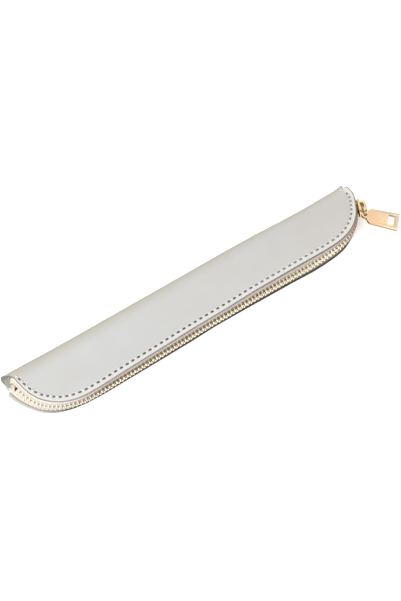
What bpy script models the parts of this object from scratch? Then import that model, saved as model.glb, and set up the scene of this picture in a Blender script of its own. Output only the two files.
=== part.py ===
"""Slim pen case: one folded leather skin, closed on three sides by a metal zip.

+X runs along the case towards the closed end of the zip, +Y towards the fold and +Z up.
The origin is the middle of the underside of the back panel, on which the case lies.
The skin, its lining and the zip are made as a back half and a front half, which part at
the fold and between the two rows of teeth, so that the front can be lifted open.
"""
import bmesh
import bpy
from math import asin, cos, pi, radians, sin, sqrt
from mathutils import Matrix, Vector

MM = 0.001
NEAR = 0.01 * MM
STATION_GAP = 0.1 * MM

# Leather skin
LENGTH = 200.0 * MM
WIDTH = 35.0 * MM
THICKNESS = 10.0 * MM
CORNER_RADIUS = 27.5 * MM
LEATHER = 1.1 * MM
NOTCH_RADIUS = 2.0 * MM
FOLD_SPLIT = 0.3 * MM
ARC_STEPS = 15
FOLD_STEPS = 7
NOTCH_STEPS = 5
SHARP_ANGLE = radians(35.0)

# Seam
STITCH_INSET = 2.8 * MM
STITCH_END = 2.5 * MM
THREAD_RADIUS = 0.25 * MM
GROOVE_CLEARANCE = 0.2 * MM

# Layers inside the skin
LAYER_GAP = 0.15 * MM
LINING = 0.3 * MM
LINING_END = 2.9 * MM

# Zip tape
TAPE = 0.4 * MM
TAPE_FLANGE = 6.1 * MM
TAPE_BEND = 0.5 * MM
TAPE_BEND_STEPS = 3
TAPE_END_GAP = 0.5 * MM
ZIP_INSET = 0.4 * MM

# Teeth
TOOTH_PITCH = 2.1 * MM
TOOTH_GAP = 0.2 * MM
TOOTH_LEAD = 0.5 * MM
TOOTH_THICKNESS = 1.8 * MM
TOOTH_TIP_GAP = 0.4 * MM
BEAD_INNER = 1.15 * MM
BEAD_WIDTH = 0.85 * MM
BEAD_GAP = 0.2 * MM

# Stops
STOP_LENGTH = 2.2 * MM
STOP_THICKNESS = 2.1 * MM
STOP_INNER = 0.35 * MM
STOP_ROUNDING = 0.3 * MM
STOP_ROUNDING_STEPS = 2
STOP_GAP = 0.3 * MM
BOTTOM_STOP_START = 1.4 * MM

# Slider
SLIDER_ANGLE = radians(64.0)
SLIDER_LENGTH = 8.6 * MM
SLIDER_WALL = 1.0 * MM
SLIDER_HEAD_WIDTH = 7.2 * MM
SLIDER_TAIL_WIDTH = 6.1 * MM
SLIDER_CLEARANCE = 0.3 * MM
TOOTH_CLEARANCE = 0.2 * MM
RIM_CLEARANCE = 0.25 * MM
RIM_STEP = 0.08 * MM
SLIDER_ROUNDING = 0.9 * MM
SLIDER_ROUNDING_STEPS = 3
SLIDER_FLARE = 0.45
POST_INSET = 0.9 * MM
POST_LENGTH = 2.5 * MM
POST_ROUNDING = 0.2 * MM
POST_CLEARANCE = 0.25 * MM

# Bridge on the slider
BRIDGE_LENGTH = 7.6 * MM
BRIDGE_WIDTH = 3.0 * MM
BRIDGE_WALL = 1.1 * MM
BRIDGE_BEVEL = 0.8 * MM
SINK = 0.2 * MM

# Link between bridge and pull
LINK_LENGTH = 5.8 * MM
LINK_RADIUS = 0.45 * MM
LINK_GAP = 0.3 * MM
LINK_INNER_HEIGHT = 4.2 * MM
LINK_CORNER = 1.2 * MM
LINK_STEPS = 5
LINK_SEAT = -1.0 * MM
LINK_ANGLE = radians(-84.0)

# Pull
PULL_NEAR_WIDTH = 9.8 * MM
PULL_WIDTH = 11.2 * MM
PULL_LENGTH = 17.6 * MM
PULL_THICKNESS = 1.2 * MM
PULL_NECK_WALL = 1.0 * MM
PULL_NECK_LENGTH = 0.8 * MM
PULL_NECK_STEPS = 12
PULL_SHOULDER = 0.4 * MM
PULL_HOLE_GAP = 0.55 * MM
PULL_HOLE_STEPS = 20
PULL_ROUNDING = 0.6 * MM
PULL_ROUNDING_STEPS = 3
SLOT_LENGTH = 7.0 * MM
SLOT_WIDTH = 2.8 * MM
SLOT_END = 2.3 * MM
SLOT_ROUNDING = 0.4 * MM
PULL_ANGLE = radians(67.0)
PULL_DROOP = radians(16.5)
PULL_RAISE = 0.8 * MM

# Places worked out from the sizes
corner_radius = min(CORNER_RADIUS, WIDTH - THICKNESS / 2 - NOTCH_RADIUS)
corner_x = LENGTH / 2 - corner_radius
corner_y = -WIDTH / 2 + corner_radius
fold_y = WIDTH / 2 - THICKNESS / 2
middle_z = THICKNESS / 2
tape_radius = corner_radius - ZIP_INSET
path_end = fold_y - TAPE_END_GAP - corner_y
path_arc = tape_radius * pi / 2
path_length = 2 * path_end + 2 * path_arc + 2 * corner_x
tape_depth = LEATHER + LAYER_GAP + TAPE / 2
lining_depth = LEATHER + TAPE + 2 * LAYER_GAP + LINING / 2
bead_outer = BEAD_INNER + BEAD_WIDTH
tooth_width = TOOTH_PITCH / 2 - TOOTH_GAP
tooth_length = 2 * BEAD_INNER - TOOTH_TIP_GAP
slider_sag = tape_radius - sqrt(tape_radius ** 2 - (SLIDER_LENGTH / 2) ** 2)
slider_place = path_end + path_arc + 2 * corner_x + tape_radius * SLIDER_ANGLE
outer_face = TOOTH_THICKNESS / 2 + TOOTH_CLEARANCE
inner_face = outer_face + slider_sag
inner_half_width = middle_z - tape_depth - TAPE / 2 - SLIDER_CLEARANCE
lining_inset = ZIP_INSET + inner_face + SLIDER_WALL + SLIDER_CLEARANCE
post_end = SLIDER_LENGTH / 2 - POST_INSET
post_start = post_end - POST_LENGTH
post_half_width = BEAD_INNER - POST_CLEARANCE
bridge_opening = 2 * (LINK_RADIUS + LINK_GAP)
link_height = outer_face + SLIDER_WALL + bridge_opening / 2
pull_hole_radius = LINK_RADIUS + PULL_HOLE_GAP
pull_neck_radius = pull_hole_radius + PULL_NECK_WALL

BACK = 1
FRONT = -1


def level(side, depth):
    """Height of a layer that lies this deep under the outer face of one half."""
    return depth if side == BACK else THICKNESS - depth


def srgb(red, green, blue):
    """Linear colour of an sRGB colour written in 0 to 255."""
    values = [value / 255.0 for value in (red, green, blue)]
    linear = [v / 12.92 if v <= 0.04045 else ((v + 0.055) / 1.055) ** 2.4 for v in values]
    return (*linear, 1.0)


def make_material(name, colour, roughness, metallic=0.0):
    """Plain Principled material."""
    material = bpy.data.materials.new(name)
    material.use_nodes = True
    shader = material.node_tree.nodes["Principled BSDF"]
    shader.inputs["Base Color"].default_value = colour
    shader.inputs["Roughness"].default_value = roughness
    shader.inputs["Metallic"].default_value = metallic
    material.diffuse_color = colour
    return material


def make_collection(name):
    """New collection in the scene."""
    collection = bpy.data.collections.new(name)
    bpy.context.scene.collection.children.link(collection)
    return collection


def add_object(name, data, material=None):
    """Put mesh or curve data into the case's collection, or its tools' one if it has no material."""
    obj = bpy.data.objects.new(name, data)
    if material is None:
        tools.objects.link(obj)
        obj.hide_render = True
        obj.display_type = "WIRE"
    else:
        data.materials.append(material)
        parts.objects.link(obj)
    return obj


def path_at(place):
    """Point and outward normal of the tape's line, this far along it from its left end."""
    straight = path_end + path_arc
    if place < path_end:
        return Vector((-corner_x - tape_radius, corner_y + path_end - place)), Vector((-1, 0))
    if place < straight:
        angle = (place - path_end) / tape_radius
        normal = Vector((-cos(angle), -sin(angle)))
        return Vector((-corner_x, corner_y)) + tape_radius * normal, normal
    if place < straight + 2 * corner_x:
        return Vector((place - straight - corner_x, corner_y - tape_radius)), Vector((0, -1))
    if place < path_length - path_end:
        angle = (place - straight - 2 * corner_x) / tape_radius
        normal = Vector((sin(angle), -cos(angle)))
        return Vector((corner_x, corner_y)) + tape_radius * normal, normal
    past = place - path_length + path_end
    return Vector((corner_x + tape_radius, corner_y + past)), Vector((1, 0))


def edge_point(place, inset, z):
    """Point this far along the zip and this far inside the edge of the leather."""
    point, normal = path_at(place)
    point = point + (ZIP_INSET - inset) * normal
    return Vector((point.x, point.y, z))


def stations(start, end):
    """Places along the zip between start and end, close together round the corners."""
    left = [path_end + path_arc * step / ARC_STEPS for step in range(ARC_STEPS + 1)]
    right = [path_length - place for place in reversed(left)]
    inside = [place for place in left + right if start + STATION_GAP < place < end - STATION_GAP]
    return [start] + inside + [end]


def to_mesh(name, bm):
    """Finish a bmesh as a smooth-shaded mesh."""
    mesh = bpy.data.meshes.new(name)
    bm.to_mesh(mesh)
    bm.free()
    mesh.shade_smooth()
    mesh.set_sharp_from_angle(angle=SHARP_ANGLE)
    return mesh


def thicken(obj, thickness):
    """Give an open sheet its thickness, half on each side."""
    solid = obj.modifiers.new("thickness", "SOLIDIFY")
    solid.thickness = thickness
    solid.offset = 0.0
    solid.use_even_offset = True
    return obj


def swept_sheet(places, section):
    """Sheet whose section, a list of inset and height, follows the zip, and its vertices by column."""
    bm = bmesh.new()
    grid = {}
    columns = len(places) - 1
    rows = len(section) - 1
    bmesh.ops.create_grid(bm, x_segments=columns, y_segments=rows, size=0.5)
    for vertex in bm.verts:
        column = round((vertex.co.x + 0.5) * columns)
        row = round((vertex.co.y + 0.5) * rows)
        inset, z = section[row]
        vertex.co = edge_point(places[column], inset, z)
        grid[column, row] = vertex
    return bm, grid


def line_curve(name, points, radius, cyclic=False, resolution=1):
    """Round wire along points, with closed ends."""
    curve = bpy.data.curves.new(name, "CURVE")
    curve.dimensions = "3D"
    curve.bevel_depth = radius
    curve.bevel_resolution = resolution
    curve.use_fill_caps = True
    spline = curve.splines.new("POLY")
    spline.points.add(len(points) - 1)
    for place, point in zip(spline.points, points):
        place.co = (*point, 1.0)
    spline.use_cyclic_u = cyclic
    return curve


def curve_to_mesh(curve, name):
    """Welded mesh of a curve."""
    holder = bpy.data.objects.new(name, curve)
    tools.objects.link(holder)
    bpy.context.view_layer.update()
    evaluated = holder.evaluated_get(bpy.context.evaluated_depsgraph_get())
    mesh = bpy.data.meshes.new_from_object(evaluated)
    mesh.name = name
    bpy.data.objects.remove(holder)
    bm = bmesh.new()
    bm.from_mesh(mesh)
    bmesh.ops.remove_doubles(bm, verts=bm.verts, dist=NEAR / 10)
    bmesh.ops.recalc_face_normals(bm, faces=bm.faces)
    bm.to_mesh(mesh)
    bm.free()
    return mesh


def flat_solid(name, loops, start, end, turn):
    """Plate cut to a flat outline, with holes, from start to end along its own normal."""
    curve = bpy.data.curves.new(name, "CURVE")
    curve.dimensions = "2D"
    curve.fill_mode = "BOTH"
    curve.extrude = (end - start) / 2
    for loop in loops:
        spline = curve.splines.new("POLY")
        spline.points.add(len(loop) - 1)
        for place, point in zip(spline.points, loop):
            place.co = (point[0], point[1], 0.0, 1.0)
        spline.use_cyclic_u = True
    mesh = curve_to_mesh(curve, name)
    mesh.transform(turn @ Matrix.Translation((0, 0, (start + end) / 2)))
    return mesh


def rounded(corners, radius, steps):
    """Closed outline through corners, each one rounded by an arc; straight ones are left out."""
    outline = []
    count = len(corners)
    for index in range(count):
        corner = Vector(corners[index])
        before = (Vector(corners[index - 1]) - corner).normalized()
        after = (Vector(corners[(index + 1) % count]) - corner).normalized()
        half = before.angle(after) / 2
        if half > radians(89):
            continue
        reach = radius / sin(half)
        centre = corner + (before + after).normalized() * reach
        first = corner + before * reach * cos(half) - centre
        turn = (pi - 2 * half) * (1 if before.cross(after) < 0 else -1)
        for step in range(steps + 1):
            angle = turn * step / steps
            spun = Vector((first.x * cos(angle) - first.y * sin(angle),
                           first.x * sin(angle) + first.y * cos(angle)))
            outline.append(centre + spun)
    return outline


def circle(radius, count):
    """Points round a circle."""
    angles = [2 * pi * step / count for step in range(count)]
    return [Vector((radius * cos(angle), radius * sin(angle))) for angle in angles]


def union(target, mesh):
    """Join a mesh to a solid."""
    tool = add_object(mesh.name, mesh)
    join = target.modifiers.new(mesh.name, "BOOLEAN")
    join.operation = "UNION"
    join.object = tool
    tool.parent = target


def half_sheet(name, side, depth, inset, end_x):
    """Sheet of one half of the skin or lining: its flat panel and its half of the fold."""
    z = level(side, depth)
    bm = bmesh.new()
    outline = [edge_point(place, inset, z) for place in stations(path_end, path_length - path_end)]
    rounding = corner_x + corner_radius - inset - end_x
    right = [Vector((end_x, fold_y, z))]
    if rounding > STATION_GAP:
        for step in range(1, NOTCH_STEPS + 1):
            angle = pi / 2 * step / NOTCH_STEPS
            drop = rounding * (1 - cos(angle))
            right.append(Vector((end_x + rounding * sin(angle), fold_y - drop, z)))
    left = [Vector((-point.x, point.y, z)) for point in right]
    for point in left + outline + list(reversed(right)):
        bm.verts.new(point)
    bmesh.ops.remove_doubles(bm, verts=bm.verts, dist=NEAR)
    bm.faces.new(bm.verts)
    seam = [edge for edge in bm.edges
            if all(abs(vertex.co.y - fold_y) < NEAR for vertex in edge.verts)]
    radius = middle_z - depth
    angle = pi / 2 - asin(FOLD_SPLIT / 2 / (radius - LEATHER / 2))
    ends = {vertex for edge in seam for vertex in edge.verts}
    geometry = seam + [vertex for vertex in bm.verts if vertex in ends]
    bmesh.ops.spin(bm, geom=geometry, cent=(0, fold_y, middle_z), axis=(1, 0, 0),
                   angle=side * angle, steps=FOLD_STEPS, use_merge=False)
    return to_mesh(name, bm)


def make_panel(name, side):
    """Leather of one half, with the shallow groove that the seam lies in."""
    mesh = half_sheet(name, side, LEATHER / 2, 0.0, LENGTH / 2 - NOTCH_RADIUS)
    panel = thicken(add_object(name, mesh, leather), LEATHER)
    radius = THREAD_RADIUS + GROOVE_CLEARANCE
    points = seam_points(side, STITCH_END - GROOVE_CLEARANCE)
    tube = curve_to_mesh(line_curve(name, points, radius), name + "_groove")
    groove = add_object(name + "_groove", tube)
    cut = panel.modifiers.new("groove", "BOOLEAN")
    cut.operation = "DIFFERENCE"
    cut.object = groove
    return panel


def seam_points(side, end):
    """Line of the seam, sunk into the leather by the thread's radius."""
    places = stations(end, path_length - end)
    return [edge_point(place, STITCH_INSET, level(side, THREAD_RADIUS)) for place in places]


def make_stitching(name, side):
    """Thread of the seam that holds the zip tape to the leather."""
    curve = line_curve(name, seam_points(side, STITCH_END), THREAD_RADIUS)
    return add_object(name, curve, thread)


def make_lining(name, side):
    """Fabric lining of one half."""
    mesh = half_sheet(name, side, lining_depth, lining_inset, LENGTH / 2 - LINING_END)
    return thicken(add_object(name, mesh, lining_cloth), LINING)


def make_tape(name, side):
    """Woven zip tape: a flange sewn under the leather, bent down to the row of teeth."""
    bend = ZIP_INSET + TAPE_BEND
    section = [(ZIP_INSET + TAPE_FLANGE, tape_depth)]
    for step in range(TAPE_BEND_STEPS + 1):
        angle = pi / 2 * step / TAPE_BEND_STEPS
        section.append((bend - TAPE_BEND * sin(angle), tape_depth + TAPE_BEND * (1 - cos(angle))))
    section.append((ZIP_INSET, middle_z - bead_outer - BEAD_GAP))
    section = [(inset, level(side, depth)) for inset, depth in section]
    bm, _ = swept_sheet(stations(0.0, path_length), section)
    return thicken(add_object(name, to_mesh(name, bm), tape_cloth), TAPE)


def make_teeth(name, side):
    """Row of teeth on the bead of the tape; the two rows mesh with each other."""
    start = BOTTOM_STOP_START + STOP_LENGTH + STOP_GAP
    first = start + TOOTH_LEAD + (TOOTH_PITCH / 2 if side == FRONT else 0.0)
    last = slider_place + post_start - STOP_GAP
    count = int((last - first - tooth_width) / TOOTH_PITCH) + 1
    places = [start]
    for index in range(count):
        places += [first + index * TOOTH_PITCH, first + index * TOOTH_PITCH + tooth_width]
    bead_end = slider_place + SLIDER_LENGTH / 2 + STOP_GAP
    places += stations(places[-1], bead_end)[1:]
    root = middle_z - side * BEAD_INNER
    section = [(ZIP_INSET, middle_z - side * bead_outer), (ZIP_INSET, root)]
    bm, grid = swept_sheet(places, section)
    columns = range(1, 2 * count, 2)
    edges = [bm.edges.get((grid[column, 1], grid[column + 1, 1])) for column in columns]
    grown = bmesh.ops.extrude_edge_only(bm, edges=edges)
    tips = [item for item in grown["geom"] if isinstance(item, bmesh.types.BMVert)]
    bmesh.ops.translate(bm, verts=tips, vec=(0, 0, side * tooth_length))
    return thicken(add_object(name, to_mesh(name, bm), brass), TOOTH_THICKNESS)


def make_stop(name, start, low, high):
    """Metal stop at one end of the teeth."""
    point, normal = path_at(start + STOP_LENGTH / 2)
    bm = bmesh.new()
    bmesh.ops.create_cube(bm, size=1.0)
    bmesh.ops.scale(bm, verts=bm.verts, vec=(STOP_LENGTH, STOP_THICKNESS, high - low))
    obj = add_object(name, to_mesh(name, bm), brass)
    obj.location = (point.x, point.y, middle_z + (low + high) / 2)
    obj.rotation_euler.z = normal.angle_signed(Vector((0, -1)))
    bevel = obj.modifiers.new("rounding", "BEVEL")
    bevel.width = STOP_ROUNDING
    bevel.segments = STOP_ROUNDING_STEPS
    return obj


def slider_outline(head_width, tail_width):
    """Slider's face seen from outside: narrow at the tail, wide at the head."""
    half = SLIDER_LENGTH / 2
    flare = half * SLIDER_FLARE
    corners = [(-half, -tail_width / 2), (0.0, -tail_width / 2), (flare, -head_width / 2),
               (half, -head_width / 2), (half, head_width / 2), (flare, head_width / 2),
               (0.0, tail_width / 2), (-half, tail_width / 2)]
    return rounded(corners, SLIDER_ROUNDING, SLIDER_ROUNDING_STEPS)


def make_slider():
    """Slider: two plates joined by a post, with rims beside the tape and a bridge outside.

    Its origin is the centre of the corner that it runs round, so it is made as if it
    stood on the long straight side and is then turned to its place.
    """
    seat = Matrix.Translation((0, -tape_radius, 0)) @ Matrix.Rotation(pi / 2, 4, "X")
    outline = slider_outline(SLIDER_HEAD_WIDTH, SLIDER_TAIL_WIDTH)
    inner_width = 2 * inner_half_width
    inner_outline = slider_outline(inner_width, min(SLIDER_TAIL_WIDTH, inner_width))
    outer = flat_solid("slider_body", [outline], outer_face, outer_face + SLIDER_WALL, seat)
    slider = add_object("slider_body", outer, gold)
    inner_low = -inner_face - SLIDER_WALL
    union(slider, flat_solid("slider_inner", [inner_outline], inner_low, -inner_face, seat))
    shoulder = post_end - post_half_width
    corners = [(post_start, 0.0), (shoulder, -post_half_width),
               (post_end, 0.0), (shoulder, post_half_width)]
    post = rounded(corners, POST_ROUNDING, SLIDER_ROUNDING_STEPS)
    union(slider, flat_solid("slider_post", [post], -inner_face - SINK, outer_face + SINK, seat))
    low = bead_outer + RIM_CLEARANCE
    high = min(inner_half_width, SLIDER_TAIL_WIDTH / 2) - RIM_STEP
    end = SLIDER_LENGTH / 2 - SLIDER_ROUNDING
    slot_out = TAPE / 2 + SLIDER_CLEARANCE
    slot_in = slot_out + slider_sag
    for number, sign in enumerate((-1, 1)):
        rim = [(-end, sign * low), (end, sign * low), (end, sign * high), (-end, sign * high)]
        union(slider, flat_solid("outer_rim_%d" % number, [rim], slot_out, outer_face + SINK, seat))
        union(slider, flat_solid("inner_rim_%d" % number, [rim], -inner_face - SINK, -slot_in, seat))
    union(slider, bridge_mesh())
    slider.location = (corner_x, corner_y, middle_z)
    slider.rotation_euler.z = SLIDER_ANGLE
    return slider


def bridge_mesh():
    """Arch on the slider's outer plate that holds the link."""
    base = outer_face + SLIDER_WALL - SINK
    arch = base + SINK + bridge_opening
    top = arch + BRIDGE_WALL
    half = BRIDGE_LENGTH / 2
    inner = half - BRIDGE_WALL
    bevel = BRIDGE_BEVEL / 2
    outline = [(-half, base), (-inner, base), (-inner, arch - bevel), (-inner + bevel, arch),
               (inner - bevel, arch), (inner, arch - bevel), (inner, base), (half, base),
               (half, top - BRIDGE_BEVEL), (half - BRIDGE_BEVEL, top), (-half + BRIDGE_BEVEL, top),
               (-half, top - BRIDGE_BEVEL)]
    turn = Matrix.Translation((0, -tape_radius, 0)) @ Matrix.Diagonal((1, -1, 1, 1))
    mesh = flat_solid("bridge", [outline], -BRIDGE_WIDTH / 2, BRIDGE_WIDTH / 2, turn)
    mesh.flip_normals()
    return mesh


def make_link(slider):
    """Wire loop that hangs in the bridge and carries the pull; its origin is its near bar."""
    half = LINK_INNER_HEIGHT / 2 + LINK_RADIUS
    corners = [(0, -half), (LINK_LENGTH, -half), (LINK_LENGTH, half), (0, half)]
    loop = rounded(corners, LINK_CORNER, LINK_STEPS)
    points = [Vector((point.x, 0.0, point.y)) for point in loop]
    mesh = curve_to_mesh(line_curve("pull_link", points, LINK_RADIUS, True, 2), "pull_link")
    mesh.shade_smooth()
    link = add_object("pull_link", mesh, gold)
    link.parent = slider
    link.location = (LINK_SEAT, -tape_radius - link_height, 0.0)
    link.rotation_euler.z = -pi / 2 + LINK_ANGLE
    return link


def make_pull(link):
    """Pull plate with a slot near its free end; its origin is its hole on the link's far bar."""
    half = PULL_WIDTH / 2
    near_half = PULL_NEAR_WIDTH / 2
    start = PULL_NECK_LENGTH + PULL_SHOULDER
    corners = [(start, -near_half), (PULL_LENGTH, -half), (PULL_LENGTH, half), (start, near_half)]
    outline = rounded(corners, PULL_ROUNDING, PULL_ROUNDING_STEPS)
    outline.append(Vector((PULL_NECK_LENGTH, pull_neck_radius)))
    for step in range(PULL_NECK_STEPS + 1):
        angle = pi / 2 + pi * step / PULL_NECK_STEPS
        outline.append(Vector((pull_neck_radius * cos(angle), pull_neck_radius * sin(angle))))
    outline.append(Vector((PULL_NECK_LENGTH, -pull_neck_radius)))
    slot_end = PULL_LENGTH - SLOT_END
    slot_start = slot_end - SLOT_WIDTH
    corners = [(slot_start, -SLOT_LENGTH / 2), (slot_end, -SLOT_LENGTH / 2),
               (slot_end, SLOT_LENGTH / 2), (slot_start, SLOT_LENGTH / 2)]
    slot = rounded(corners, SLOT_ROUNDING, PULL_ROUNDING_STEPS)
    tilt = Matrix.Translation((0, 0, PULL_RAISE)) @ Matrix.Rotation(PULL_DROOP, 4, "Y")
    loops = [outline, slot, circle(pull_hole_radius, PULL_HOLE_STEPS)]
    mesh = flat_solid("pull_plate", loops, -PULL_THICKNESS / 2, PULL_THICKNESS / 2, tilt)
    pull = add_object("pull_plate", mesh, gold)
    pull.parent = link
    pull.location = (LINK_LENGTH, 0.0, 0.0)
    pull.rotation_euler.z = PULL_ANGLE
    return pull


for old in list(bpy.data.objects):
    bpy.data.objects.remove(old)
parts = make_collection("pen_case")
tools = make_collection("pen_case_tools")
leather = make_material("greige_leather", srgb(215, 214, 209), 0.5)
lining_cloth = make_material("lining_cloth", srgb(196, 192, 184), 0.85)
tape_cloth = make_material("zip_tape", srgb(206, 196, 190), 0.9)
thread = make_material("light_thread", srgb(236, 234, 228), 0.7)
brass = make_material("brass_teeth", srgb(222, 190, 130), 0.3, 1.0)
gold = make_material("pale_gold", srgb(245, 212, 170), 0.28, 1.0)

for half_name, half_side in (("back", BACK), ("front", FRONT)):
    make_panel(half_name + "_panel", half_side)
    make_lining(half_name + "_lining", half_side)
    make_tape(half_name + "_zip_tape", half_side)
    make_teeth(half_name + "_teeth", half_side)
    make_stitching(half_name + "_stitching", half_side)
stop_start = slider_place + SLIDER_LENGTH / 2 + 2 * STOP_GAP
make_stop("back_top_stop", stop_start, -bead_outer, -STOP_INNER)
make_stop("front_top_stop", stop_start, STOP_INNER, bead_outer)
make_stop("bottom_stop", BOTTOM_STOP_START, -bead_outer, bead_outer)
slider_body = make_slider()
pull_link = make_link(slider_body)
make_pull(pull_link)
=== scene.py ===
"""Dresses the slim pen case: leather skin, seam, zip, lining, slider and pull, with its camera and lights."""
from math import atan2, cos, exp, pi, radians, sin

import bmesh
import bpy
from bpy.props import FloatProperty, FloatVectorProperty, PointerProperty
from mathutils import Matrix, Vector


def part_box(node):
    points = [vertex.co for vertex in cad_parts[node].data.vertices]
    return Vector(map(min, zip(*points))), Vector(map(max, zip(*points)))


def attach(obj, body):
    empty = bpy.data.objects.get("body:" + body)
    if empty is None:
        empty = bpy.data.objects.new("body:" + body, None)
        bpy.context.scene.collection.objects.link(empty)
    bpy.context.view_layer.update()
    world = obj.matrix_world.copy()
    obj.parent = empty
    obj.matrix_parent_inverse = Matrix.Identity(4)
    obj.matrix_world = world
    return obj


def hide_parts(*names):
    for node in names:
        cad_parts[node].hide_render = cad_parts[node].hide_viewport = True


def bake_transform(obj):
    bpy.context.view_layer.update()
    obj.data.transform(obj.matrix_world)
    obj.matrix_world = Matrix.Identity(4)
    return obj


bl_info = {
    "name": "Slim pen case",
    "version": (1, 0, 0),
    "blender": (4, 5, 0),
    "location": "3D View > Sidebar > Pen Case",
    "description": "Dresses the packed pen case with leather, thread, cloth and metal",
    "category": "Object",
}

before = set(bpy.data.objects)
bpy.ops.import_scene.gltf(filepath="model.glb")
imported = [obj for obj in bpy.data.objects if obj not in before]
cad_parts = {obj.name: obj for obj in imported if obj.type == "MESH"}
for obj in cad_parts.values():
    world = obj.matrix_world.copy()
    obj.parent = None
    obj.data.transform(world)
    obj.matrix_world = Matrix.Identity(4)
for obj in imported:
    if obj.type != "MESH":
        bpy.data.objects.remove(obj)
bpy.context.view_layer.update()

MM = 0.001
NEAR = 0.001 * MM
BACK = 1
FRONT = -1

# Outline of the case, which the frame's panels and folds share
panel_low, panel_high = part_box("back_panel")
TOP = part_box("front_panel")[1].z
MIDDLE = TOP / 2
CORNER_RADIUS = 27.5 * MM
CORNER_X = panel_high.x - CORNER_RADIUS
CORNER_Y = panel_low.y + CORNER_RADIUS
FOLD_Y = panel_high.y - MIDDLE
SEAM_INSET = 2.8 * MM
SEAM_RADIUS = CORNER_RADIUS - SEAM_INSET
SEAM_ARC = SEAM_RADIUS * pi / 2
SEAM_LENGTH = 2 * SEAM_ARC + 2 * CORNER_X
ZIP_INSET = 0.4 * MM
ZIP_RADIUS = CORNER_RADIUS - ZIP_INSET
END_RUN = FOLD_Y - CORNER_Y
LEATHER = 1.1 * MM
LINING_DEPTH = 1.8 * MM
SIDES = ((BACK, "back"), (FRONT, "front"))

# Place of the seam's first hole, and how far before it the line of holes starts
FIRST_HOLE = -1.55 * MM
HOLE_LEAD = 0.3 * MM

# Where the zip starts along the seam, and places along the zip
ZIP_START = -2.0 * MM
LOWER_STOP = 2.5 * MM
FIRST_TOOTH = 4.825 * MM
TEETH_END = 220.44 * MM
TOP_STOP = 225.84 * MM

# Slider, with how far its plates are from the line of the zip and how far its solids sink into each other
SLIDER_TURN = radians(64.0)
SLIDER_LENGTH = 8.6 * MM
SLIDER_WALL = 1.0 * MM
SLIDER_OUTER = 1.1 * MM
SLIDER_INNER = 1.443 * MM
SUNK = 0.2 * MM
LINK_LENGTH = 5.8 * MM
LINK_RADIUS = 0.45 * MM

# Softness of the case, in millimetres: how far the fold swells at places along the case, and at places
# along the seam how far each edge stands out, how far the zip sags and how far the seam is nearer the edge
SPINE_SWELL = ((-100, 2.7), (-80, 1.74), (-60, 1.35), (-30, 0.9), (0, 0.45), (25, 0.15), (45, -0.36),
               (60, -1.08), (75, -1.56), (94, -1.56), (97, -1.26), (99.5, -0.45))
TOP_EDGE = ((-7.5, 8.6), (-6.8, 8.2), (-5, 5.8), (-2.5, 2.9), (-1.2, 0.8), (0, -0.1), (4, -0.6),
            (12, -0.9), (18, -0.6), (25, -0.1), (44, 0.5), (57, 0.2), (75, -0.15), (97, -0.6), (118, -0.45),
            (136, -0.75), (152, -0.3), (165, 0.0), (178, 0.45), (190, 0.0), (202, -0.3), (212, -0.5),
            (218, 0.4), (226, 0.6), (232, 0.5))
UNDER_EDGE = ((-7.5, 8.7), (-5, 8.3), (-2, 7.6), (1, 6.6), (4, 5.4), (7, 4.1), (10, 3.1), (16, 1.7),
              (23, 0.0), (28, -1.1), (33, -1.7), (38, -1.8), (44, -1.35), (75, -1.1), (95, -1.0),
              (110, -1.35), (131, -0.6), (143, 0.0), (156, 0.55), (168, 1.4), (175, 1.3), (181, 0.9),
              (187, 0.05), (195, -1.2), (206, -1.6), (216, -0.6), (230, -0.3))
ZIP_SAG = ((0, 0.4), (12, 0.7), (115, 0.7), (145, 0.9), (165, 0.9), (182, 0.2), (214, 0.2), (219, 1.1))
SEAM_SHIFT = ((-6, 0.6), (0, 1.3), (6, 1.2), (12, 0.9), (20, 0.0))

# Share by which the case is taller for each metre of swell
SWELL_RISE = 0.22 / (3.0 * MM)


def clamp(value, low, high):
    """Value kept between low and high."""
    return min(high, max(low, value))


def smooth(value, low, high):
    """Smooth step from 0 at low to 1 at high."""
    share = clamp((value - low) / (high - low), 0.0, 1.0)
    return share * share * (3 - 2 * share)


def hump(value, low, full, ebb, end):
    """Smooth rise from 0 at low to 1 at full, and smooth fall from ebb to 0 at end."""
    return smooth(value, low, full) * (1 - smooth(value, ebb, end))


def between(line, value):
    """Value at a place on a short line of (place, value) pairs, straight from one pair to the next."""
    if value <= line[0][0]:
        return line[0][1]
    for (low, first), (high, second) in zip(line, line[1:]):
        if value <= high:
            return first + (second - first) * (value - low) / (high - low)
    return line[-1][1]


def along_rim(x, y):
    """Place along the seam, inset from the cut edge and outward direction of a flat point."""
    centre = Vector((clamp(x, -CORNER_X, CORNER_X), CORNER_Y))
    arm = Vector((x, y)) - centre
    if arm.y > 0 or arm.length < NEAR:
        side = -1 if x < 0 else 1
        place = -arm.y if x < 0 else SEAM_LENGTH + arm.y
        return place, CORNER_RADIUS - abs(arm.x), Vector((side, 0))
    outward = arm.normalized()
    if x < -CORNER_X:
        place = atan2(-outward.y, -outward.x) * SEAM_RADIUS
    elif x > CORNER_X:
        place = SEAM_LENGTH - atan2(-outward.y, outward.x) * SEAM_RADIUS
    else:
        place = SEAM_ARC + x + CORNER_X
    return place, CORNER_RADIUS - arm.length, outward


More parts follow.
